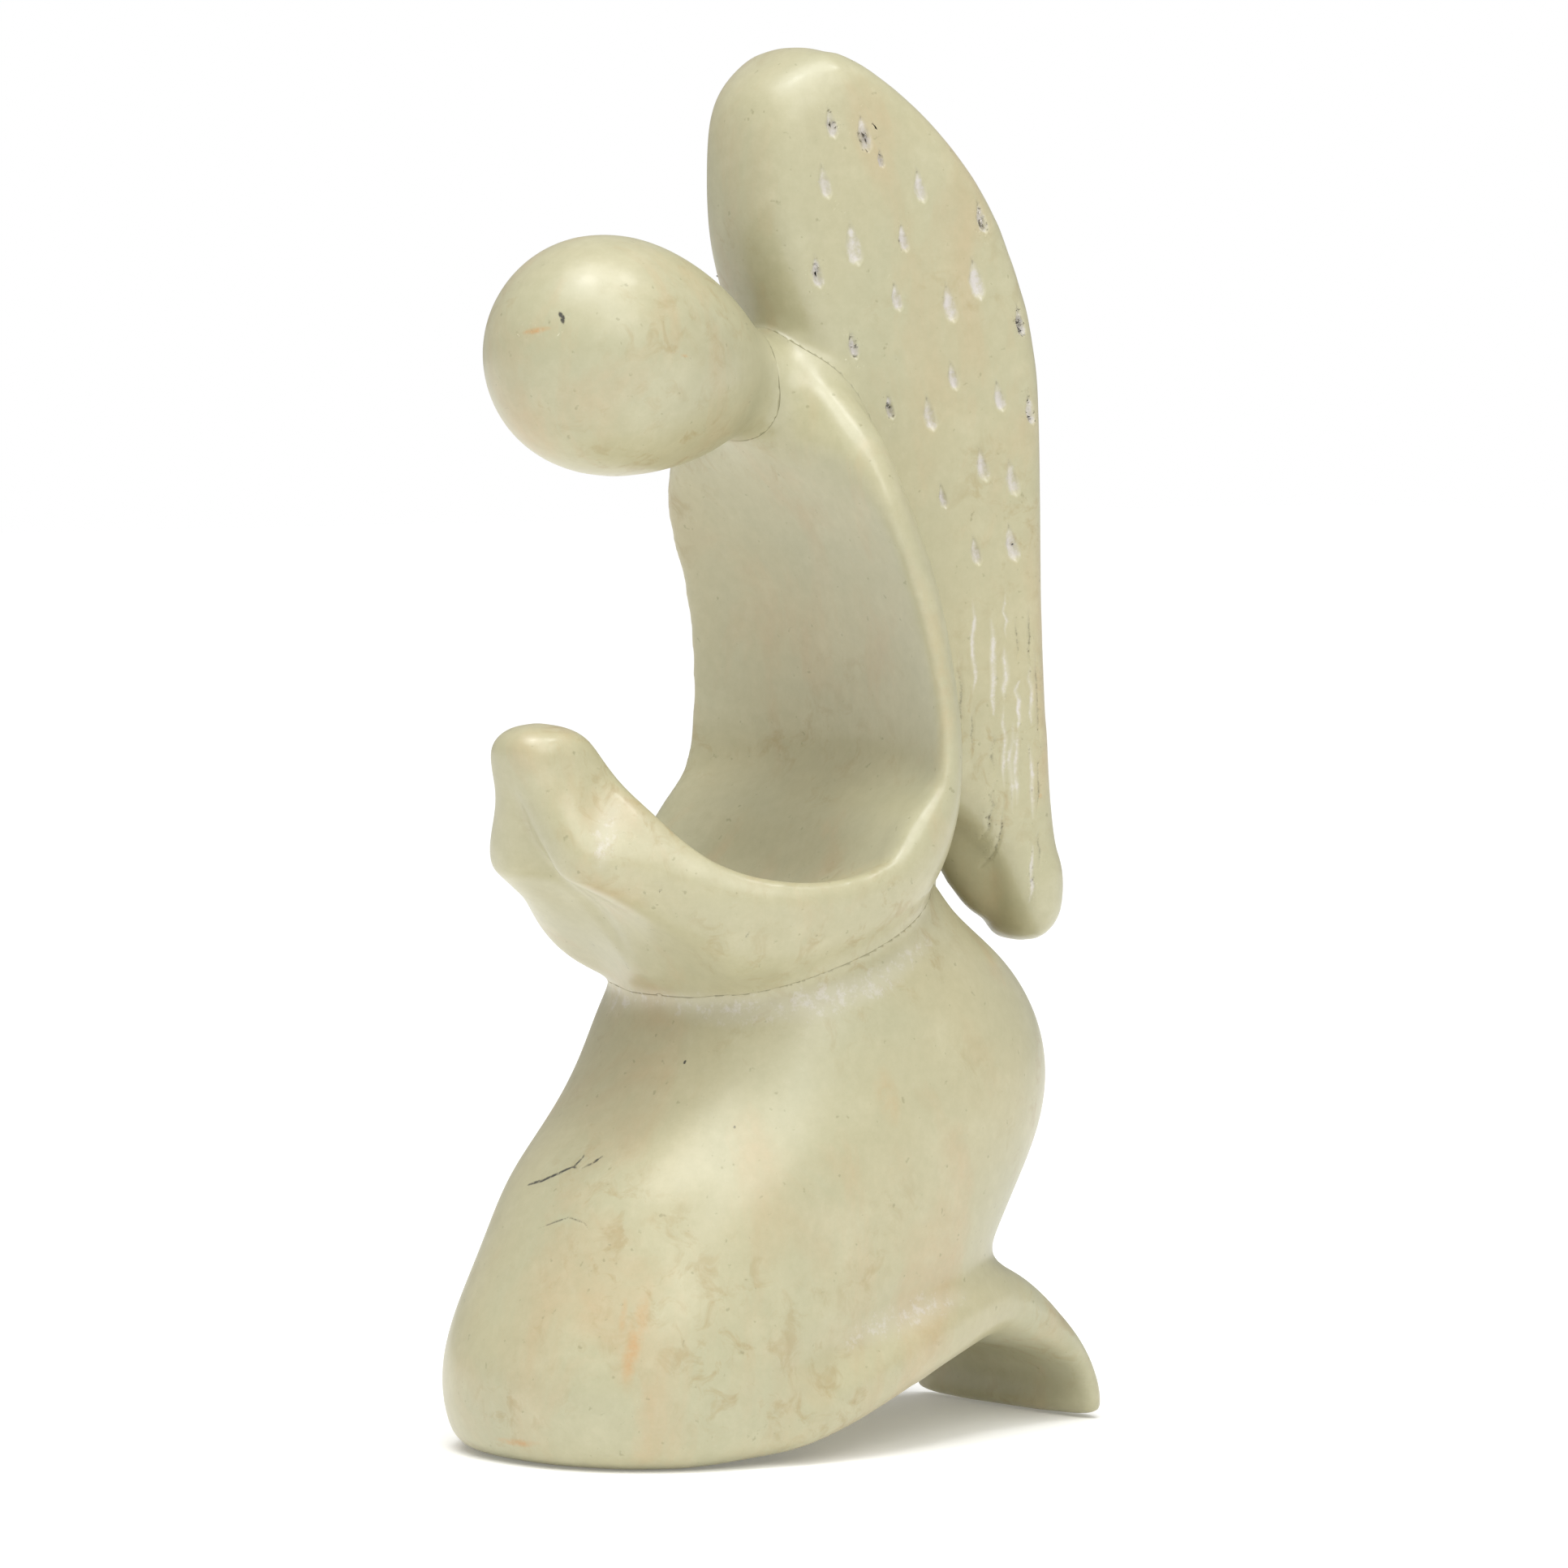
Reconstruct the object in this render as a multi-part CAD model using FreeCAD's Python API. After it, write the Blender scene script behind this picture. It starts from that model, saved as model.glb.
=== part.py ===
"""A kneeling, praying angel carved from one block of soapstone.

The carving is stored as the forms that its maker cut: head, torso, two arms, two hands,
two wings, the robe over the thighs and the train behind it.  Each is a closed solid of its
own, and neighbours meet face to face on one shared cut.

Frame: millimetres, +Z up, the figure faces -Y, its left side is +X.  x = 0 is the figure's
own plane of symmetry and z = 0 its resting plane.  The forms are drawn from a point on the
resting plane that is called the middle below; each is then moved along y when it is saved, so
that the origin is halfway between the knees and the rear of the train.
"""
import FreeCAD, Part
import math
import os
from collections import namedtuple

Vector = FreeCAD.Vector
os.makedirs("parts", exist_ok=True)

# ---- robe over the thighs (the skirt) -------------------------------------------------
skirt_width = 61.0          # side to side, over the thighs
skirt_front = 44.6          # furthest reach of the knees in front of the middle
skirt_back = 51.0           # furthest reach of the hips behind the middle
skirt_height = 66.0         # resting plane to the waist, at the front

# ---- torso, arms and hands: one bowl-shaped sweep --------------------------------------
arms_width = 61.0           # side to side, over the elbows
arms_reach = 42.0           # middle to the front of the hands
back_reach = 24.5           # middle to the outside of the back
torso_rise = 88.0           # waist to the middle of the neck
shell_wall = 6.5            # stone left between the hollow and the back
hollow_depth = 5.0          # scoop of the hollow below its rim
arm_depth = 18.0            # rim of the hollow down to the underside of the arms
hand_width = 15.0           # both hands together

# ---- neck and head ---------------------------------------------------------------------
neck_radius = 8.0
head_radius = 17.3
head_length = 43.5          # neck to the front of the head
head_rise = 9.0             # degrees that the head's axis rises towards its front

# ---- wings -----------------------------------------------------------------------------
wing_top = 48.5             # neck to the top of the wings
wing_nose = 17.0            # width of the plain front face that both wings share
wing_reach = 48.5           # middle to the rear of the wings
wing_flare = 18.0           # degrees that each outer face opens towards the rear
wing_seat = 3.0             # depth that the wings are let into the back
wing_tip_drop = 9.0         # lower wing tips below the elbow
groove_start = 17.0         # middle to the bottom of the groove between the wings
groove_flare = 14.0         # half of the groove's opening angle, degrees

# ---- train of the robe and the arch under it -------------------------------------------
train_width = 63.0
train_reach = 58.0          # middle to the outside of the train
train_band = 15.0           # height of the rolled band along the robe's side
train_end = 5.6             # thickness of the train just above its foot
arch_height = 12.1          # top of the arch above the resting plane
arch_front = -26.0          # where the arch leaves the resting plane

# ---- how the forms are drawn -----------------------------------------------------------
ring_points = 20            # points on each closed section of the robe
half_ring_points = 9        # points on each half of a bowl section
far = 400.0                 # larger than the whole figure, for half spaces
centring = Vector(0, (skirt_front - train_reach) / 2, 0)


def point(x, y, z):
    return Vector(x, y, z)


def turned(angle):
    """Unit vector in the y-z plane; 0 degrees points to the rear and 90 degrees up."""
    a = math.radians(angle)
    return Vector(0, math.cos(a), math.sin(a))


def closed_wire(points):
    curve = Part.BSplineCurve()
    curve.interpolate(points, PeriodicFlag=True)
    return Part.Wire([curve.toShape()])


def open_edge(points):
    curve = Part.BSplineCurve()
    curve.interpolate(points)
    return curve.toShape()


def power(value, exponent):
    """A power that keeps the sign, for superellipses."""
    return math.copysign(abs(value) ** exponent, value)


def half_space(origin, normal):
    """A large box on the side of a plane that the normal points to."""
    box = Part.makeBox(far, far, far, point(-far / 2, -far / 2, 0))
    turn = FreeCAD.Rotation(Vector(0, 0, 1), normal)
    box.Placement = FreeCAD.Placement(origin, turn)
    return box


def biggest(shape):
    """The main solid, without the crumbs that a cut leaves behind."""
    return max(shape.Solids, key=lambda solid: solid.Volume)


def save(name, shape):
    """Writes one node, and says what it holds."""
    solids = shape.Solids
    whole = solids[0] if len(solids) == 1 else Part.makeCompound(solids)
    whole.translate(centring)
    whole.exportStep("parts/%s.step" % name)
    box = whole.BoundBox
    print("%-12s solids %d valid %s volume %8.0f  x %6.1f %6.1f  y %6.1f %6.1f  z %6.1f %6.1f" % (
        name, len(solids), whole.isValid(), whole.Volume,
        box.XMin, box.XMax, box.YMin, box.YMax, box.ZMin, box.ZMax))


# ---- skirt -----------------------------------------------------------------------------
# Sections from the resting plane to the waist: height, front, back and width as shares of the
# skirt's own sizes, and the tilt of the section in degrees.
SkirtRing = namedtuple("SkirtRing", "height front back width tilt")
skirt_rings = [
    SkirtRing(0.00, 0.935, 0.44, 0.90, 0),
    SkirtRing(0.07, 0.980, 0.52, 0.96, 0),
    SkirtRing(0.16, 1.000, 0.60, 0.99, 0),
    SkirtRing(0.30, 0.950, 0.71, 0.99, 0),
    SkirtRing(0.43, 0.850, 0.80, 0.99, 0),
    SkirtRing(0.57, 0.735, 0.90, 1.00, 0),
    SkirtRing(0.69, 0.620, 0.985, 1.00, 3),
    SkirtRing(0.81, 0.520, 0.985, 0.98, 8),
    SkirtRing(0.93, 0.445, 0.86, 0.94, 15),
    SkirtRing(1.05, 0.370, 0.66, 0.86, 22),
    SkirtRing(1.18, 0.160, 0.40, 0.55, 27),
]
skirt_roundness = 2.35      # exponent of the sections: 2 is an ellipse, more is squarer


def skirt_wire(ring):
    front = -skirt_front * ring.front
    back = skirt_back * ring.back
    middle = (front + back) / 2
    half_length = (back - front) / 2
    half_width = skirt_width * ring.width / 2
    along = turned(ring.tilt)
    centre = point(0, middle, skirt_height * ring.height)
    points = []
    for k in range(ring_points):
        a = 2 * math.pi * k / ring_points
        x = half_width * power(math.cos(a), 2 / skirt_roundness)
        y = half_length * power(math.sin(a), 2 / skirt_roundness)
        points.append(centre + point(x, 0, 0) + along * y)
    return closed_wire(points)


def make_skirt():
    return Part.makeLoft([skirt_wire(r) for r in skirt_rings], True, False)


# ---- torso, arms and hands -------------------------------------------------------------
# Stations along the sweep from the neck down the back, under the lap and up to the finger
# tips.  y is a share of back_reach behind the middle and of arms_reach in front of it, z a
# share of torso_rise above the waist.  The angle is that of the outward direction.  Width is
# a share of arms_width, outer and inner are distances from the rim to the outside and to the
# hollow, in mm; a negative inner is stone that bulges over the rim.  roundness shapes the
# outside, and fullness the hollow: 0.5 is an ellipse, more is a shallow dish.  cleft is how
# far, in mm, the outside dips in the middle, where the two forearms and hands meet.
BowlStation = namedtuple("BowlStation", "y z angle width outer inner roundness fullness cleft")
neck_share = 2 * neck_radius / arms_width
hand_share = hand_width / arms_width
back_outer = hollow_depth + shell_wall
bowl_stations = [
    BowlStation(0.08, 0.998, 90, neck_share, neck_radius, -neck_radius, 2.0, 0.5, 0),
    BowlStation(0.23, 0.962, 68, 0.46, 9.0, -7.4, 2.0, 0.5, 0),
    BowlStation(0.27, 0.895, 42, 0.70, 10.5, -3.2, 2.2, 0.5, 0),
    BowlStation(0.29, 0.810, 20, 0.84, back_outer, 0.3 * hollow_depth, 2.4, 0.9, 0),
    BowlStation(0.48, 0.665, 8, 0.90, back_outer, 0.7 * hollow_depth, 2.5, 1.0, 0),
    BowlStation(0.60, 0.525, 0, 0.94, back_outer - 0.8, 0.9 * hollow_depth, 2.5, 1.0, 0),
    BowlStation(0.62, 0.375, -12, 0.985, back_outer - 0.5, hollow_depth, 2.5, 1.0, 0),
    BowlStation(0.45, 0.275, -45, 1.00, 0.85 * arm_depth, 1.1 * hollow_depth, 2.5, 1.0, 0),
    BowlStation(0.04, 0.212, -80, 0.98, arm_depth, 1.1 * hollow_depth, 2.6, 1.0, 0),
    BowlStation(-0.24, 0.205, -101, 0.89, arm_depth, 0.9 * hollow_depth, 2.7, 1.0, 0),
    BowlStation(-0.47, 0.245, -124, 0.66, 0.97 * arm_depth, 0.3 * hollow_depth, 2.7, 0.8, 6),
    BowlStation(-0.63, 0.325, -143, 0.42, 0.93 * arm_depth, -2.0, 3.0, 0.5, 5.6),
    BowlStation(-0.75, 0.385, -160, hand_share, 0.66 * arm_depth, -4.4, 2.2, 0.5, 2.4),
    BowlStation(-0.82, 0.420, -168, 0.94 * hand_share, 0.49 * arm_depth, -5.0, 2.2, 0.5, 1.2),
    BowlStation(-0.865, 0.438, -172, 0.68 * hand_share, 0.31 * arm_depth, -4.2, 2.0, 0.5, 0.5),
    BowlStation(-0.885, 0.449, -175, 0.28 * hand_share, 0.12 * arm_depth, -1.8, 2.0, 0.5, 0),
]


def rim_middle(station):
    reach = back_reach if station.y > 0 else arms_reach
    return point(0, station.y * reach, skirt_height + station.z * torso_rise)


def bowl_wire(station):
    """One section: the outside of the stone, then the hollow (or the bulge) back to the start."""
    middle = rim_middle(station)
    out = turned(station.angle)
    half_width = station.width * arms_width / 2
    angles = [math.pi * k / (half_ring_points - 1) for k in range(half_ring_points)]
    outside, inside = [], []
    for a in angles:
        x = half_width * power(math.cos(a), 2 / station.roundness)
        depth = station.outer * abs(math.sin(a)) ** (2 / station.roundness)
        depth -= station.cleft * (1 - abs(x) / half_width) ** 2
        outside.append(middle + point(x, 0, 0) + out * depth)
        depth = station.inner * abs(math.sin(a)) ** (2 * station.fullness)
        inside.append(middle + point(half_width * math.cos(a), 0, 0) + out * depth)
    outside[0] = inside[0] = middle + point(half_width, 0, 0)
    outside[-1] = inside[-1] = middle - point(half_width, 0, 0)
    return Part.Wire([open_edge(outside), open_edge(inside[::-1])])


def make_bowl():
    return Part.makeLoft([bowl_wire(s) for s in bowl_stations], True, False)


# ---- head ------------------------------------------------------------------------------
# Distance from the neck as a share of head_length, and the radius there as a share of
# head_radius.  The front of the head is round.
head_profile = [(0.10, 0.60), (0.22, 0.765), (0.38, 0.92), (0.60, 1.0),
                (0.79, 0.875), (0.90, 0.65), (0.97, 0.37)]


def make_head(neck):
    """The head, turned about an axis that starts at the middle of the neck."""
    forward = turned(180 - head_rise)
    side = turned(90 - head_rise)
    points = [neck + side * neck_radius]
    points += [neck + forward * (s * head_length) + side * (r * head_radius) for s, r in head_profile]
    pole = neck + forward * head_length
    points.append(pole)
    curve = Part.BSplineCurve()
    curve.interpolate(points)
    outline = Part.Wire([curve.toShape(), Part.makeLine(pole, neck), Part.makeLine(neck, points[0])])
    return Part.Face(outline).revolve(neck, forward, 360)


# ---- wings -----------------------------------------------------------------------------
# Rear outline of a wing from its top to its lower tip: reach behind the middle as a share of
# wing_reach, height as a share of the way from the tip up to the top.
wing_rear = [(0.30, 0.998), (0.45, 0.962), (0.61, 0.908), (0.74, 0.845), (0.835, 0.770),
             (0.895, 0.700), (0.925, 0.600), (0.935, 0.400), (0.955, 0.230), (0.985, 0.110),
             (1.000, 0.045)]
wing_lower = [(0.95, 0.0), (0.74, 0.105)]
wing_front = [(0.050, 0.800), (0.040, 0.880), (0.070, 0.948), (0.160, 0.983)]
# Side-to-side shape: distance out from the middle as a share of half the nose, and how far
# the outline is drawn in there, in mm.
wing_layers = [(0.0, 0.0), (0.35, 0.15), (0.70, 0.9), (0.92, 2.4), (1.0, 4.2)]


def wing_outline(neck, elbow):
    """Points of the wing's side view, round from the top, in mm (y, z)."""
    top = neck.z + wing_top
    tip = elbow.z - wing_tip_drop
    span = top - tip
    rear, lower, front = ([(s * wing_reach, tip + h * span) for s, h in part]
                          for part in (wing_rear, wing_lower, wing_front))
    seats = []
    for station in bowl_stations[6:1:-1]:
        back = rim_middle(station) + turned(station.angle) * (station.outer - wing_seat)
        seats.append((back.y, back.z))
    return rear + lower + seats + front


def wing_wire(outline, share, inset):
    """The outline on one upright plane, turned outwards and drawn in by the inset."""
    ys = [p[0] for p in outline]
    zs = [p[1] for p in outline]
    middle_y = (min(ys) + max(ys)) / 2
    middle_z = (min(zs) + max(zs)) / 2
    shrink_y = 1 - 2 * inset / (max(ys) - min(ys))
    shrink_z = 1 - 2 * inset / (max(zs) - min(zs))
    nose = min(ys)
    slope = math.tan(math.radians(wing_flare)) * share
    points = []
    for y, z in outline:
        y = middle_y + (y - middle_y) * shrink_y
        z = middle_z + (z - middle_z) * shrink_z
        points.append(point(share * wing_nose / 2 + slope * (y - nose), y, z))
    return closed_wire(points)


def make_wing(neck, elbow):
    """The left wing, from the plane of symmetry outwards, before it is fitted to the back."""
    outline = wing_outline(neck, elbow)
    solid = Part.makeLoft([wing_wire(outline, s, d) for s, d in wing_layers], True, False)
    depth = far / 2
    open_half = depth * math.tan(math.radians(groove_flare))
    groove = Part.makePolygon([point(-1, groove_start, 0), point(0, groove_start, 0),
                               point(open_half, groove_start + depth, 0),
                               point(-1, groove_start + depth, 0), point(-1, groove_start, 0)])
    return solid.cut(Part.Face(groove).extrude(point(0, 0, far)))


# ---- train -----------------------------------------------------------------------------
# Middle line of the rolled band, from inside the skirt to below the resting plane: y as a
# share of train_reach, z as a share of the crown's height, half thickness as a share of
# train_band, width as a share of train_width, and the outward angle.
TrainStation = namedtuple("TrainStation", "y z thick width angle")
train_stations = [
    TrainStation(-0.335, 0.10, 0.42, 0.80, 102),
    TrainStation(-0.096, 0.42, 0.47, 1.00, 106),
    TrainStation(0.184, 0.74, 0.50, 0.98, 108),
    TrainStation(0.44, 0.98, 0.52, 0.89, 100),
    TrainStation(0.64, 0.95, 0.40, 0.78, 72),
    TrainStation(0.807, 0.675, 0.26, 0.72, 46),
    TrainStation(0.900, 0.44, 0.20, 0.68, 22),
    TrainStation(0.938, 0.13, 0.22, 0.67, 3),
    TrainStation(0.930, -0.20, 0.25, 0.67, -4),
]
train_roundness = 2.8


def train_wire(station):
    crown = arch_height + train_band / 2
    middle = point(0, station.y * train_reach, station.z * crown)
    out = turned(station.angle)
    half_width = station.width * train_width / 2
    half_thick = station.thick * train_band
    points = []
    for k in range(ring_points):
        a = 2 * math.pi * k / ring_points
        x = half_width * power(math.cos(a), 2 / train_roundness)
        t = half_thick * power(math.sin(a), 2 / train_roundness)
        points.append(middle + point(x, 0, 0) + out * t)
    return closed_wire(points)


def make_train():
    return Part.makeLoft([train_wire(s) for s in train_stations], True, False)


# The arch in side view: y as a share of the way from arch_front to the inside of the train,
# z as a share of arch_height.
arch_profile = [(0.0, 0.0), (0.103, 0.065), (0.180, 0.125), (0.265, 0.235), (0.364, 0.430),
                (0.470, 0.665), (0.565, 0.855), (0.686, 0.975), (0.807, 0.995), (0.903, 0.885),
                (0.963, 0.695), (0.997, 0.420), (0.990, 0.200), (0.969, 0.0)]


def make_arch():
    """The space under the train, from side to side, and everything below it."""
    length = train_reach - train_end - arch_front
    start = point(-far / 2, arch_front, 0)
    line = [start + point(0, s * length, h * arch_height) for s, h in arch_profile]
    down = point(0, 0, -far)
    below = Part.makePolygon([line[-1], line[-1] + down, start + down, start])
    outline = Part.Wire([open_edge(line)] + below.Edges)
    return Part.Face(outline).extrude(point(far, 0, 0))


# ---- the whole figure ------------------------------------------------------------------
def main():
    neck = rim_middle(bowl_stations[0])
    elbow = rim_middle(bowl_stations[7]) + turned(bowl_stations[7].angle) * bowl_stations[7].outer

    bowl = make_bowl()
    head = make_head(neck)
    above_floor = half_space(point(0, 0, 0), Vector(0, 0, 1))
    arch = make_arch()

    # The sweep is cut across at the elbows and the wrists, and lengthways between the arms.
    elbows = half_space(rim_middle(bowl_stations[7]), turned(bowl_stations[7].angle + 90))
    torso = bowl.common(elbows)
    reach = bowl.cut(elbows)
    wrists = half_space(rim_middle(bowl_stations[11]), turned(bowl_stations[11].angle - 90))
    left = half_space(point(0, 0, 0), Vector(1, 0, 0))
    hands = reach.common(wrists)
    arms = reach.cut(wrists)

    skirt = make_skirt()
    train = make_train().common(above_floor).cut(skirt).cut(arch)
    skirt = biggest(skirt.cut(bowl).cut(arch))
    left_wing = biggest(make_wing(neck, elbow).cut(bowl).cut(head))
    right_wing = left_wing.mirror(point(0, 0, 0), Vector(1, 0, 0))

    save("head", head.cut(bowl))
    save("torso", torso)
    save("left_arm", arms.common(left))
    save("right_arm", arms.cut(left))
    save("left_hand", hands.common(left))
    save("right_hand", hands.cut(left))
    save("left_wing", left_wing)
    save("right_wing", right_wing)
    save("skirt", skirt)
    save("train", train)


main()
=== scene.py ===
import math
import random

import bmesh
import bpy
import numpy as np
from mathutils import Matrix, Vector
from mathutils.bvhtree import BVHTree
from mathutils.interpolate import poly_3d_calc


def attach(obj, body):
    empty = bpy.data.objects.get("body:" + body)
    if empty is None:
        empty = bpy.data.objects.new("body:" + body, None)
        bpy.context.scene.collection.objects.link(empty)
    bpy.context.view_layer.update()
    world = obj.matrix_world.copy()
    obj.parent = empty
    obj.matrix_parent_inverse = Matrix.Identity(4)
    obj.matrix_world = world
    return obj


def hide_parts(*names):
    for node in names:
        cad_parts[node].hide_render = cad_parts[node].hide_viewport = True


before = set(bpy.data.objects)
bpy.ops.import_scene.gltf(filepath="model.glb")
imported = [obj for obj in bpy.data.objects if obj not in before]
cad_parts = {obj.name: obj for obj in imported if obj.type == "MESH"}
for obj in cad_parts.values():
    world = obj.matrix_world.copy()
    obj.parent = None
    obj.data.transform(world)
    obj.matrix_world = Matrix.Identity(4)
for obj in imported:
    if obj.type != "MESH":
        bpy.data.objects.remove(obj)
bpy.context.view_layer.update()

# A kneeling, praying angel, carved from one block of soapstone: roughed out, rasped smooth,
# pecked with a small chisel, then sanded and waxed.  Sizes are in millimetres here and are
# turned to metres once.  The figure faces -Y, and its left side is +X.
MM = 0.001
FINE_GRAIN = 0.6
GRAIN = FINE_GRAIN       # size of the facets that the block is worked in
BOWL = ["torso", "left_arm", "right_arm", "left_hand", "right_hand"]
ALL = sorted(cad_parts)
chance = random.Random(8)


# ---- the block and the rasp ---------------------------------------------------------------
def new_object(name, mesh):
    obj = bpy.data.objects.new(name, mesh)
    bpy.context.scene.collection.objects.link(obj)
    return obj


def worked(mesh, kind, settings):
    """The mesh after one modifier."""
    obj = new_object("work", mesh)
    step = obj.modifiers.new("step", kind)
    for key, value in settings.items():
        setattr(step, key, value)
    graph = bpy.context.evaluated_depsgraph_get()
    result = bpy.data.meshes.new_from_object(obj.evaluated_get(graph))
    bpy.data.objects.remove(obj, do_unlink=True)
    return result


def forms(names):
    """Copies of some of the carving's forms in one mesh, each welded shut."""
    whole = bmesh.new()
    for name in names:
        whole.from_mesh(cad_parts[name].data)
    bmesh.ops.remove_doubles(whole, verts=whole.verts, dist=0.0005 * MM)
    return to_mesh(whole)


def to_mesh(bm, name="stone"):
    mesh = bpy.data.meshes.new(name)
    bm.to_mesh(mesh)
    bm.free()
    return mesh


def one_skin(mesh, grain):
    """Everything in the mesh as one closed skin of even facets."""
    return worked(mesh, "REMESH", {"mode": "VOXEL", "voxel_size": grain * MM})


def sand(bm, passes, where=None, verts=None):
    """Rubs the surface down: everywhere, at some vertices, or where a test of the place in mm says."""
    verts = verts or [v for v in bm.verts if where is None or where(*(v.co / MM))]
    for _ in range(int(passes * (FINE_GRAIN / GRAIN) ** 2) + 1):
        bmesh.ops.smooth_vert(bm, verts=verts, factor=0.5,
                              use_axis_x=True, use_axis_y=True, use_axis_z=True)


def near(x, y, z, radius):
    """A test of whether a place is within the radius of a point."""
    return lambda a, b, c: (a - x) ** 2 + (b - y) ** 2 + (c - z) ** 2 < radius ** 2


def edges_and_creases(bm, turn, rings):
    """Vertices where the skin turns sharply between neighbours, in degrees, and some rings around them."""
    bm.normal_update()
    limit = math.cos(math.radians(turn * GRAIN / FINE_GRAIN))
    chosen = {v for e in bm.edges if e.verts[0].normal.dot(e.verts[1].normal) < limit for v in e.verts}
    for _ in range(rings):
        chosen |= {e.other_vert(v) for v in list(chosen) for e in v.link_edges}
    return list(chosen)


# ---- chisel, burin and pencil -------------------------------------------------------------
class Stroke:
    """A cut or a stain that follows a line over the stone.

    line: points in mm.  width: half width.  depth: how deep it cuts; less than 0 raises the
    stone.  sharp: 1 is a V, 2 a round groove.  ink: {"powder" | "dark" | "rust": strength}.
    ends: how far the stroke thins out at its ends, 0 not at all and 1 to nothing.
    side: if given, the stroke tells only on skin that faces that way."""

    def __init__(self, line, width, depth=0.0, sharp=2, ink=None, ends=1.0, side=None):
        self.line = np.array(line, float)
        self.width, self.depth, self.sharp, self.ink, self.ends = width, depth, sharp, ink or {}, ends
        self.side = side

    def reach(self, places):
        """Share of the stroke's strength at each place, 0 outside it."""
        share = np.zeros(len(places))
        low, high = self.line.min(0) - self.width, self.line.max(0) + self.width
        box = np.nonzero(((places > low) & (places < high)).all(1))[0]
        if not len(box):
            return share
        p = places[box]
        best = np.full(len(p), 1e9)
        along = np.zeros(len(p))
        steps = np.linalg.norm(np.diff(self.line, axis=0), axis=1)
        run = 0.0
        for a, b, step in zip(self.line, self.line[1:], steps):
            t = np.clip((p - a) @ (b - a) / step ** 2, 0, 1)
            d = np.linalg.norm(p - a - t[:, None] * (b - a), axis=1)
            closer = d < best
            best[closer], along[closer] = d[closer], (run + t[closer] * step) / steps.sum()
            run += step
        thin = 1 - self.ends * np.abs(2 * along - 1) ** 2.5
        width = self.width * (0.25 + 0.75 * thin)
        inside = np.clip(1 - (best / width) ** self.sharp, 0, 1)
        share[box] = inside ** (1.0 if self.sharp < 2 else 1.5) * thin
        return share


MOST_SPLITS = 4


def refine(bm, strokes, size):
    """Splits facets under the strokes until their edges are about that short, in mm."""
    for _ in range(MOST_SPLITS):
        places = np.array([v.co for v in bm.verts]) / MM
        under = np.zeros(len(places), bool)
        for s in strokes:
            wide = Stroke(s.line, s.width * 1.5 + 0.6, ends=0.0)
            under |= wide.reach(places) > 0
        bm.verts.ensure_lookup_table()
        bm.verts.index_update()
        edges = [e for e in bm.edges if under[e.verts[0].index] and under[e.verts[1].index]
                 and e.calc_length() > 1.5 * size * MM]
        if not edges:
            return
        bmesh.ops.subdivide_edges(bm, edges=edges, cuts=1)
        bmesh.ops.triangulate(bm, faces=[f for f in bm.faces if len(f.verts) > 3])


def carve(mesh, strokes):
    """Cuts every stroke into the mesh and leaves its ink there as a vertex value."""
    count = len(mesh.vertices)
    flat = np.empty(count * 3)
    mesh.vertices.foreach_get("co", flat)
    places = flat.reshape(-1, 3) / MM
    flat = np.empty(count * 3, np.float32)
    mesh.vertex_normals.foreach_get("vector", flat)
    normals = flat.reshape(-1, 3).astype(float)
    moved = places.copy()
    inks = {name: np.zeros(count) for name in ("powder", "dark", "rust")}
    for s in strokes:
        share = s.reach(places)
        if s.side is not None:
            share = share * np.clip(normals @ np.array(s.side, float), 0, 1)
        moved -= normals * (share * s.depth)[:, None]
        for name, strength in s.ink.items():
            inks[name] = np.maximum(inks[name], share * strength)
    mesh.vertices.foreach_set("co", (moved * MM).ravel())
    for name, values in inks.items():
        layer = mesh.attributes.get(name) or mesh.attributes.new(name, "FLOAT", "POINT")
        layer.data.foreach_set("value", values.astype(np.float32))
    mesh.update()


# ---- what the carver cut ------------------------------------------------------------------
def mirrored(line):
    return [(-x, y, z) for x, y, z in line]


def both(line, *a, **k):
    """The same stroke on the left and on the right."""
    return [Stroke(line, *a, **k), Stroke(mirrored(line), *a, **k)]


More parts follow.
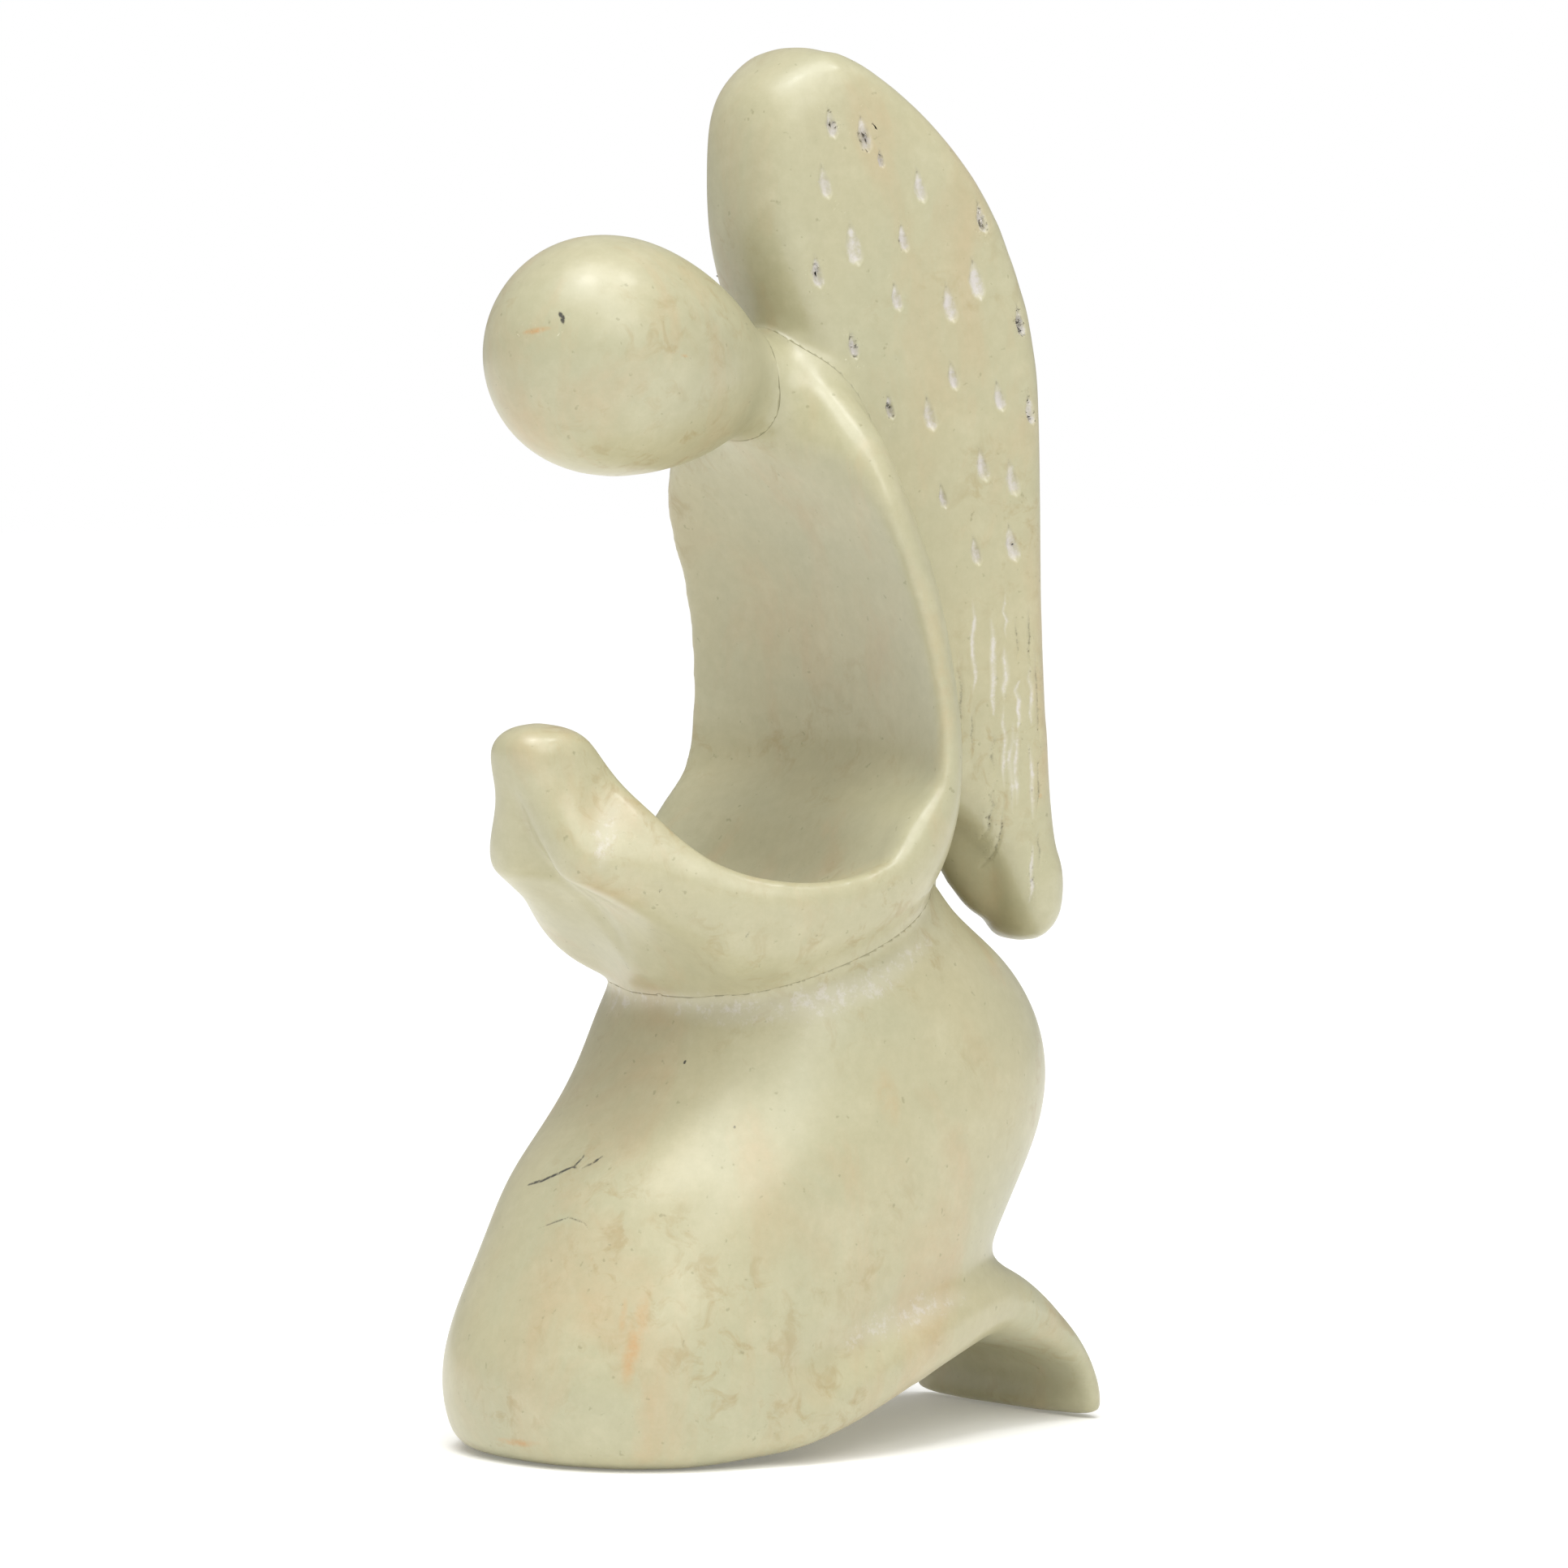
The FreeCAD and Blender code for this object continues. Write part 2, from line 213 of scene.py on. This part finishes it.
def soft_forms():
    """Broad strokes that model the forms, cut before the fine work."""
    seam = [(0, -50, 98), (0, -46, 93), (0, -41, 86), (0, -37, 82), (0, -29, 74), (0, -20, 67)]
    strokes = [Stroke(seam, 1.6, 0.9, sharp=1, ends=0.3)]
    # the wrist's hollow between the heel of the hand and the forearm
    strokes += both([(7, -36, 99), (10, -39, 92), (12, -42, 86)], 4.5, 0.7)
    # the forearms are pared flat underneath, from the heel of the hand to the waist
    strokes += both([(9, -44, 83), (9.5, -38, 77.5), (10.5, -31, 72.5), (12, -20, 66.5)], 13, 3.4, ends=0.9)
    # the lap slopes up to the back of the hollow
    lap = [(-24, 6, 89.5), (-10, 9, 88.5), (10, 9, 88.5), (24, 6, 89.5)]
    strokes.append(Stroke(lap, 13, -4.5, ends=0.4, side=(0, -0.6, 0.75)))
    # the wing's blunt nose stands a little forward, and the wing's lower end reaches to the hips
    nose = [(0, -4.5, 200), (0, -4.8, 184), (0, -4.8, 168)]
    strokes.append(Stroke(nose, 26, -1.9, ends=0.3, side=(0, -1, 0)))
    lower_edge = [(8, 25, 90), (7.3, 29, 84), (9, 32, 79), (12, 34.3, 75)]
    strokes += both(lower_edge, 8.5, -3.0, side=(0, -0.7, -0.7))
    strokes += both([(14, 37, 84), (16, 38, 77), (18, 38, 73)], 9, -1.1, ends=0.4)
    # the groove over the train's rolled band, and the band below it
    groove = [(27, 13, 25), (29.5, 2, 22), (30.4, -7, 18.5), (30.4, -15, 16), (30, -22, 13.5)]
    strokes += both(groove, 4.5, 1.3, sharp=1, ends=0.8)
    strokes += both([(x + 0.4, y + 1, z - 6) for x, y, z in groove[:4]], 4.5, -0.7, ends=0.8)
    return strokes


# One side of the wing, as (y, z, length) of each peck in mm.
PECKS = [
    (3, 191, 4.4), (8, 189.5, 5.4), (10.5, 186, 2.6), (2, 182.5, 4.8),
    (6.5, 173.5, 6.2), (1, 169.5, 4.6), (16.5, 182, 4.8), (14, 174.5, 4.0),
    (26, 177.5, 4.6), (25, 168.5, 6.0), (21, 165, 5.6), (32, 162.5, 4.6),
    (13, 166, 4.2), (6.5, 159, 4.0), (21.5, 154.5, 4.2), (18, 149, 5.0),
    (28.5, 151.5, 4.4), (33.5, 149.5, 4.4), (26, 141.5, 4.8), (30.5, 139.5, 5.2),
    (20, 137, 3.4), (25, 129, 4.2), (30.5, 130, 5.4), (12, 150, 3.4),
]
# Long scratched feather lines near the rear edge: (y, upper z, lower z).
FEATHER_LINES = [(24.6, 123, 106), (27.5, 120, 88), (29.3, 124, 80), (31.2, 117, 92), (33.3, 121, 79),
                 (34.6, 112, 84), (22.5, 112, 99), (30.3, 104, 83)]


def wing_side(tree, y, z):
    """The point on the outer face of the left wing at that reach and height."""
    hit = tree.ray_cast(Vector((60, y, z)) * MM, Vector((-1, 0, 0)))[0]
    return None if hit is None else tuple(hit / MM)


def on_wing(tree, places):
    points = [wing_side(tree, y, z) for y, z in places]
    return points if all(points) and min(p[0] for p in points) > 3 else None


def feather_cuts(tree, side):
    """The pecks and scratches on one wing; the other wing's differ a little, as handwork does."""
    cuts = []
    # each peck is a slim cut with a wider lower half, and a dark nick where the chisel entered
    for y, z, length in PECKS:
        if side < 0:
            y += chance.uniform(-1, 1)
            z += chance.uniform(-1.5, 1.5)
            length *= chance.uniform(0.8, 1.2)
        half = length / 2
        lean = 0.22 * half
        line = on_wing(tree, [(y - lean, z + half), (y - 0.4 * lean, z), (y + lean, z - half)])
        if line is None:
            continue
        tip = on_wing(tree, [(y - 1.3 * lean, z + 1.15 * half), (y - 0.8 * lean, z + 0.75 * half)])
        line = line if side > 0 else mirrored(line)
        middle = tuple((np.array(line[1]) + line[2]) / 2)
        cuts.append(Stroke(line, 0.17 * length, 0.5, ink={"powder": 0.9}))
        cuts.append(Stroke([line[1], middle], 0.23 * length, 0.35, ink={"powder": 0.9}, ends=0.0))
        if tip:
            tip = tip if side > 0 else mirrored(tip)
            cuts.append(Stroke(tip, 0.34, 0.15, sharp=1, ink={"dark": 0.3}, ends=0.4))
    for y, top, foot in FEATHER_LINES:
        z = top + chance.uniform(-2, 2)
        while z > foot:
            run = np.linspace(z, z - chance.uniform(5, 14), 6)
            line = on_wing(tree, [(y + chance.uniform(-0.35, 0.35), place) for place in run])
            ink = {"powder": chance.uniform(0.5, 0.9)} if chance.random() < 0.65 else {"dark": 0.3}
            if line:
                line = line if side > 0 else mirrored(line)
                cuts.append(Stroke(line, chance.uniform(0.35, 0.7), 0.2, sharp=1, ink=ink, ends=0.7))
            z = run[-1] - chance.uniform(0.3, 4)
    return cuts


def stains():
    """Cracks, inclusions and rusty streaks of the stone itself."""
    dark = {"dark": 0.9}
    faint = {"dark": 0.45}
    rust = {"rust": 0.8}
    marks = [
        Stroke([(7.5, -45, 164.5), (8.3, -44.6, 163.3), (8.6, -44.4, 162)], 0.5, 0, ink=dark, ends=0.5),
        Stroke([(2.5, -47.3, 161), (5, -46.8, 161.4), (7.6, -45.6, 161.8)], 0.6, 0, ink=rust),
        Stroke([(16.5, -31.5, 158.2), (17.3, -28.5, 157.6)], 0.35, 0, ink=rust),
        # inclusions and a crack over the thigh
        Stroke([(-8, -38, 38.6), (-5, -37.8, 39.4), (-2.5, -37, 40.4), (0, -36, 41.8)],
               0.45, 0.1, sharp=1, ink=dark, ends=0.3),
        Stroke([(-3, -34.6, 43.4), (-2, -34.2, 44.4), (-0.5, -34, 44.6),
                (0.5, -34.8, 43.2), (0, -36, 41.6), (1.6, -36, 41.2)],
               0.4, 0.1, sharp=1, ink=dark, ends=0.3),
        Stroke([(1.6, -36, 41.2), (3.4, -35, 42.3), (4.2, -34.2, 43.3)],
               0.5, 0.1, sharp=1, ink=dark, ends=0.3),
        Stroke([(-3, -42.6, 32.2), (0, -42, 33.4), (4.6, -40.8, 35.1),
                (8, -40.6, 34.6), (10.9, -40.7, 32.4)],
               0.3, 0.08, sharp=1, ink=faint),
        Stroke([(8.4, -22.6, 56.6), (9, -22.5, 56.4)], 0.45, 0, ink=dark),
        Stroke([(20.4, -23.2, 48.4), (20.6, -23, 47.7)], 0.4, 0, ink=faint),
        # cracks in the near forearm
        Stroke([(8.5, -38.2, 77.4), (10.5, -38, 78), (12.5, -38, 78.2)], 0.3, 0.08, sharp=1, ink=dark),
        Stroke([(14, -37, 79.6), (16, -35.3, 79.6), (17, -34.4, 79.5)], 0.35, 0.08, sharp=1, ink=dark),
        Stroke([(16.4, -34.4, 81.3), (17.9, -33, 81.8), (19.5, -31, 81.6)],
               0.3, 0.06, sharp=1, ink=faint),
        Stroke([(22.8, -23, 79), (23.4, -22.6, 76.6), (22.8, -23.4, 74.6)],
               0.3, 0.08, sharp=1, ink=dark),
        Stroke([(20, -24, 71.5), (17, -24, 69.6), (13.5, -24, 68.4)], 0.28, 0.05, sharp=1, ink=faint),
        # the crack along the train's groove
        Stroke([(30.4, -15.5, 15.4), (30.5, -12, 16.4), (30.4, -9.5, 17.4)],
               0.4, 0.25, sharp=1, ink=dark, ends=0.6),
        # rusty streaks that run down the robe
        Stroke([(21, -37.5, 30), (20.6, -40, 24), (20.5, -42.5, 16), (20.3, -43, 9)],
               1.5, 0, ink={"rust": 0.5}),
        Stroke([(18, -41, 26), (18.6, -42.6, 18), (19, -43.6, 11)], 0.8, 0, ink={"rust": 0.55}),
        Stroke([(-1, -50, 3.6), (4, -50, 3.4), (9, -49, 3.9)], 0.8, 0, ink={"rust": 0.6}),
        Stroke([(29.5, -3, 57), (29.3, -2, 52), (29.8, -1, 47)], 2.4, 0, ink={"rust": 0.22}),
        Stroke([(21.3, 35, 93.6), (21.4, 35, 92.6)], 0.5, 0, ink=rust),
    ]
    # pale stone powder that stays in the creases, and a warm tint where hands wear the rim
    waist = [(-3, -20, 65), (5, -19.5, 64.5), (13.3, -17.9, 63.8), (23, -10.8, 65.2),
             (26.2, -1.4, 67.8), (25.1, 8.9, 73.2)]
    marks += both(waist, 3.2, ink={"powder": 0.4}, ends=0.5)
    wrist = [(10.2, -36.3, 95.5), (11.9, -39.9, 90.1), (12.5, -41.2, 84.3)]
    marks += both(wrist, 2.2, ink={"powder": 0.38})
    marks += both([(27.5, 16.3, 22.2), (29.7, 0.3, 19.7), (30.2, -13.8, 16.3)], 3.0, ink={"powder": 0.38})
    rim = [(26.4, 1.5, 134), (29, 8, 120), (29.5, 10, 108), (27.2, 9.4, 98.8)]
    marks += both(rim, 3.5, ink={"rust": 0.2})
    return marks


def fine_work(tree):
    return feather_cuts(tree, 1) + feather_cuts(tree, -1) + stains()


def modelled_figure():
    """The whole carving as one closed mesh, before the fine work."""
    block = bmesh.new()
    block.from_mesh(one_skin(forms(ALL), GRAIN))
    sand(block, 20)
    sand(block, 60, verts=edges_and_creases(block, turn=9, rings=4))
    for radius in (14, 12, 10):                      # the neck flows into the shoulders
        sand(block, 45, near(0, -4, 153, radius))
    mesh = to_mesh(block)
    carve(mesh, soft_forms())
    block = bmesh.new()
    block.from_mesh(mesh)
    sand(block, 12)
    for v in block.verts:
        v.co.z = max(v.co.z, 0)
    bmesh.ops.triangulate(block, faces=block.faces)
    return to_mesh(block)


# ---- parting the figure into its forms ----------------------------------------------------
def box_mesh(low, high):
    bm = bmesh.new()
    bmesh.ops.create_cube(bm, size=1.0)
    for v in bm.verts:
        v.co = Vector([(a + b) / 2 + c * (b - a) for a, b, c in zip(low, high, v.co)]) * MM
    return to_mesh(bm, "cutter")


def tilted_box(origin, angle):
    """A large box on the side that the angle, in degrees from the rear and up, points to."""
    bm = bmesh.new()
    bmesh.ops.create_cube(bm, size=0.6)
    along = Vector((0, math.cos(math.radians(angle)), math.sin(math.radians(angle))))
    turn = along.to_track_quat("Z", "Y")
    for v in bm.verts:
        v.co = turn @ (v.co + Vector((0, 0, 0.3))) + Vector(origin) * MM
    return to_mesh(bm, "cutter")


def grown(names, growth):
    """The forms in one skin, thicker all round by the growth in mm."""
    bm = bmesh.new()
    bm.from_mesh(one_skin(forms(names), 0.8))
    sand(bm, 4)
    mesh = to_mesh(bm)
    carve(mesh, soft_forms())
    bm = bmesh.new()
    bm.from_mesh(mesh)
    bm.normal_update()
    for v in bm.verts:
        v.co += v.normal * growth * MM
    bmesh.ops.triangulate(bm, faces=bm.faces)
    return to_mesh(bm, "cutter")


CUT = bpy.data.materials.new("cut_face")


def part_of(mesh, cutter, inside=True):
    """What of the mesh lies inside, or outside, the cutter."""
    tool = new_object("tool", cutter)
    if not cutter.materials:
        cutter.materials.append(CUT)
    result = worked(mesh.copy(), "BOOLEAN", {"operation": "INTERSECT" if inside else "DIFFERENCE",
                                             "object": tool, "solver": "MANIFOLD"})
    bpy.data.objects.remove(tool, do_unlink=True)
    return result


def halves(mesh, cutter):
    return part_of(mesh, cutter), part_of(mesh, cutter, inside=False)


STONE = bpy.data.materials.new("polished_soapstone")
figure = modelled_figure()
figure.materials.append(STONE)
whole = bmesh.new()
whole.from_mesh(figure)
SKIN = BVHTree.FromBMesh(whole)
FINE_WORK = fine_work(SKIN)
whole.free()


def skin_normal(place):
    """The whole figure's smooth normal at a place on its skin."""
    at, _, face, _ = SKIN.find_nearest(place)
    corners = [figure.vertices[i] for i in figure.polygons[face].vertices]
    shares = poly_3d_calc([c.co for c in corners], at)
    return sum((c.normal * share for c, share in zip(corners, shares)), Vector()).normalized()


# Every cutter is a little fuller than its forms.  The box around the head also takes a thin slice
# of the wings' nose, and what no cutter takes, in the waist's crease and between the wings, goes
# with the train.
BOWL_MARGIN = 0.8
WING_MARGIN = 1.6
SKIRT_MARGIN = 0.35
ELBOWS = (0, 4.33, 90.2), 45                # a point of the cutting plane, and its tilt in degrees
WRISTS = (0, -33.16, 94.6), 127

left_side = box_mesh((0, -200, -50), (200, 200, 300))
around_head = box_mesh((-40, -120, 125), (40, -2.2, 190))
bowl, rest = halves(figure, grown(BOWL, BOWL_MARGIN))
head, rest = halves(rest, around_head)
wings, robe = halves(rest, grown(["left_wing", "right_wing"], WING_MARGIN))
skirt, train = halves(robe, grown(["skirt"], SKIRT_MARGIN))
left_wing, right_wing = halves(wings, left_side)
torso, reach = halves(bowl, tilted_box(*ELBOWS))
hands, arms = halves(reach, tilted_box(*WRISTS))
left_hand, right_hand = halves(hands, left_side)
left_arm, right_arm = halves(arms, left_side)

pieces = {"head": head, "torso": torso, "left_arm": left_arm, "right_arm": right_arm,
          "left_hand": left_hand, "right_hand": right_hand, "left_wing": left_wing,
          "right_wing": right_wing, "skirt": skirt, "train": train}


BROAD = 1.6                                     # wider strokes need no finer facets
FINE_FACET = 0.2


def finished(name, mesh):
    """One form as a piece of its own: along its cut faces the skin keeps the whole figure's
    shading, so that it runs on from piece to piece."""
    bm = bmesh.new()
    bm.from_mesh(mesh)
    bmesh.ops.triangulate(bm, faces=[f for f in bm.faces if len(f.verts) > 4])
    names = [m.name if m else "" for m in mesh.materials]
    cut = names.index("cut_face") if "cut_face" in names else -1
    for f in bm.faces:
        f.smooth = f.material_index != cut
    for e in bm.edges:
        kinds = {f.material_index == cut for f in e.link_faces}
        e.smooth = len(kinds) < 2
    bmesh.ops.triangulate(bm, faces=bm.faces)
    low = np.array([v.co for v in bm.verts]).min(0) / MM - 1
    high = np.array([v.co for v in bm.verts]).max(0) / MM + 1
    strokes = [s for s in FINE_WORK if (s.line.max(0) > low).all() and (s.line.min(0) < high).all()]
    refine(bm, [s for s in strokes if s.width < BROAD], FINE_FACET)
    bm.verts.index_update()
    border = {}
    for v in bm.verts:
        if len({f.material_index == cut for f in v.link_faces}) == 2:
            border[v.index] = skin_normal(v.co)
    result = to_mesh(bm, name)
    carve(result, strokes)
    bent = [(0, 0, 0)] * len(result.loops)
    for f in result.polygons:
        if f.material_index != cut:
            for corner in f.loop_indices:
                bent[corner] = border.get(result.loops[corner].vertex_index, (0, 0, 0))
        f.material_index = 0
    result.normals_split_custom_set(bent)
    result.materials.clear()
    result.materials.append(STONE)
    obj = new_object(name + "_stone", result)
    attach(obj, "root")
    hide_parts(name)


for name, mesh in pieces.items():
    finished(name, mesh)
for name in ALL:
    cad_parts[name].hide_render = True


# ---- floor, light and camera --------------------------------------------------------------
def linear(hexed):
    """A colour as sRGB hex, turned into the linear values that shaders take."""
    parts = [int(hexed[i:i + 2], 16) / 255 for i in (1, 3, 5)]
    return [c / 12.92 if c <= 0.04045 else ((c + 0.055) / 1.055) ** 2.4 for c in parts] + [1.0]


def add(tree, kind, inputs=None, **settings):
    """One node with its settings; an input is given a value, or a socket to be linked from."""
    made = tree.nodes.new(kind)
    for key, value in settings.items():
        setattr(made, key, value)
    for key, value in (inputs or {}).items():
        socket = made.inputs[key]
        if isinstance(value, bpy.types.NodeSocket):
            tree.links.new(value, socket)
        else:
            socket.default_value = value
    return made


def stone_material(material):
    """Polished soapstone: cream and grey-green clouds, warm where worn, waxed to a satin."""
    material.use_nodes = True
    tree = material.node_tree
    tree.nodes.clear()
    place = add(tree, "ShaderNodeTexCoord").outputs["Object"]

    def noise(scale, detail=3.0, rough=0.5, stretch=None, warp=0.0):
        where = place
        if stretch:
            where = add(tree, "ShaderNodeVectorMath", {0: place, 1: stretch},
                        operation="MULTIPLY").outputs[0]
        return add(tree, "ShaderNodeTexNoise", {"Vector": where, "Scale": scale, "Detail": detail,
                                                "Roughness": rough, "Distortion": warp}).outputs[0]

    def ramp(value, low, high, out_low=0.0, out_high=1.0):
        return add(tree, "ShaderNodeMapRange",
                   {0: value, 1: low, 2: high, 3: out_low, 4: out_high}).outputs[0]

    def times(a, b):
        return add(tree, "ShaderNodeMath", {0: a, 1: b}, operation="MULTIPLY").outputs[0]

    def plus(a, b):
        return add(tree, "ShaderNodeMath", {0: a, 1: b}, operation="ADD").outputs[0]

    def mix(share, a, b):
        a = linear(a) if isinstance(a, str) else a
        b = linear(b) if isinstance(b, str) else b
        return add(tree, "ShaderNodeMix", {0: share, 6: a, 7: b}, data_type="RGBA").outputs[2]

    def ink(name):
        return add(tree, "ShaderNodeAttribute", attribute_name=name).outputs["Fac"]

    clouds = noise(22, 4, 0.55, warp=0.4)
    colour = mix(ramp(clouds, 0.38, 0.62), "#bab391", "#b3b091")
    warm = noise(60, 5, 0.62, stretch=(1, 1, 0.45), warp=0.6)
    colour = mix(ramp(warm, 0.52, 0.72, 0, 0.5), colour, "#bda27c")
    mottle = noise(260, 4, 0.65, warp=0.8)
    patches = times(ramp(mottle, 0.52, 0.66), ramp(noise(34, 3, 0.5), 0.48, 0.62, 0, 0.5))
    colour = mix(patches, colour, "#a08a5e")
    pale = noise(110, 5, 0.6)
    colour = mix(ramp(pale, 0.52, 0.72, 0, 0.35), colour, "#c9c4a6")
    fine = noise(520, 4, 0.7)
    colour = mix(ramp(fine, 0.35, 0.7, 0.16, 0), colour, "#8c8660")
    specks = noise(760, 2, 0.5)
    colour = mix(ramp(specks, 0.70, 0.76, 0, 0.4), colour, "#7d7857")
    crumble = noise(1500, 3, 0.7)
    powder, dark, rust = ink("powder"), ink("dark"), ink("rust")
    colour = mix(times(rust, ramp(noise(420, 4, 0.7), 0.3, 0.62)), colour, "#c08a4e")
    colour = mix(ramp(powder, 0.0, 0.5, 0, 0.4), colour, "#cfcbba")
    flakes = ramp(noise(620, 4, 0.75), 0.36, 0.62, -0.6, 0.12)
    colour = mix(ramp(plus(powder, flakes), 0.1, 0.8, 0, 0.85), colour, "#d2cdca")
    colour = mix(ramp(times(dark, ramp(crumble, 0.3, 0.6, 0.3, 1.2)), 0.15, 0.55), colour, "#45433a")

    rough = plus(ramp(noise(45, 4, 0.6), 0.3, 0.7, 0.33, 0.43), times(powder, 0.4))
    scratches = noise(900, 3, 0.6, stretch=(1, 1, 0.12))
    waves = times(noise(240, 3, 0.6), 0.5)
    flaked = times(times(crumble, powder), 1.4)
    relief = plus(times(scratches, 0.25), plus(waves, flaked))
    bump = add(tree, "ShaderNodeBump", {"Strength": 0.35, "Distance": 0.00012, "Height": relief})
    shader = add(tree, "ShaderNodeBsdfPrincipled", {"Base Color": colour, "Roughness": rough, "IOR": 1.56,
                                                    "Coat Weight": 0.12, "Coat Roughness": 0.16,
                                                    "Normal": bump.outputs[0]})
    out = add(tree, "ShaderNodeOutputMaterial")
    tree.links.new(shader.outputs[0], out.inputs[0])


stone_material(STONE)


def paper(material):
    """Matt white paper that glows a little, as a lit sweep does."""
    material.use_nodes = True
    shader = material.node_tree.nodes["Principled BSDF"]
    shader.inputs["Base Color"].default_value = linear("#fafaf8")
    shader.inputs["Roughness"].default_value = 0.9
    shader.inputs["Specular IOR Level"].default_value = 0.1
    shader.inputs["Emission Color"].default_value = (1, 1, 1, 1)
    shader.inputs["Emission Strength"].default_value = 0.14
    return material


floor_bm = bmesh.new()
bmesh.ops.create_grid(floor_bm, x_segments=1, y_segments=1, size=4.0)
floor_mesh = to_mesh(floor_bm, "floor")
floor = new_object("floor", floor_mesh)
floor_mesh.materials.append(paper(bpy.data.materials.new("white_paper_sweep")))

world = bpy.data.worlds.new("studio")
bpy.context.scene.world = world
world.use_nodes = True
world.node_tree.nodes.clear()
seen = add(world.node_tree, "ShaderNodeLightPath").outputs["Is Camera Ray"]
glow = add(world.node_tree, "ShaderNodeMapRange", {0: seen, 3: 0.40, 4: 1.0}).outputs[0]
sky = add(world.node_tree, "ShaderNodeBackground", {"Color": (1, 1, 1, 1), "Strength": glow})
world_out = add(world.node_tree, "ShaderNodeOutputWorld")
world.node_tree.links.new(sky.outputs[0], world_out.inputs[0])


def softbox(name, place, aim, size, power):
    light = bpy.data.lights.new(name, "AREA")
    light.shape = "RECTANGLE"
    light.size, light.size_y = size
    light.energy = power
    obj = new_object(name, light)
    obj.location = place
    obj.rotation_mode = "QUATERNION"
    obj.rotation_quaternion = (Vector(aim) - Vector(place)).to_track_quat("-Z", "Y")
    return obj


# a broad even light from above, which also keeps the sweep white far behind the figure
sky_light = bpy.data.lights.new("overhead_sheet", "SUN")
sky_light.energy = 1.8
sky_light.angle = math.radians(50)
sheet = new_object("overhead_sheet", sky_light)
sheet.rotation_mode = "QUATERNION"
sheet.rotation_quaternion = Vector((0.12, -0.28, 1.0)).to_track_quat("Z", "Y")
softbox("overhead_left", (0.05, -0.35, 1.2), (0, 0, 0.1), (0.22, 0.22), 2.0)
softbox("overhead_right", (0.35, 0.15, 1.2), (0, 0, 0.1), (0.22, 0.22), 2.0)
softbox("camera_side", (1.2, -0.45, 1.1), (0, 0, 0.1), (1.0, 1.0), 9)

cam_data = bpy.data.cameras.new("camera")
cam_data.lens = 190
cam_data.sensor_width = 36
cam_data.clip_end = 20
camera = new_object("camera", cam_data)
camera.location = Vector((919.3, -778.0, 165.0)) * MM
camera.rotation_mode = "QUATERNION"
camera.rotation_quaternion = (Vector((5.0, -0.7, 95.5)) * MM - camera.location).to_track_quat("-Z", "Y")
bpy.context.scene.camera = camera
bpy.context.scene.view_settings.view_transform = "Standard"
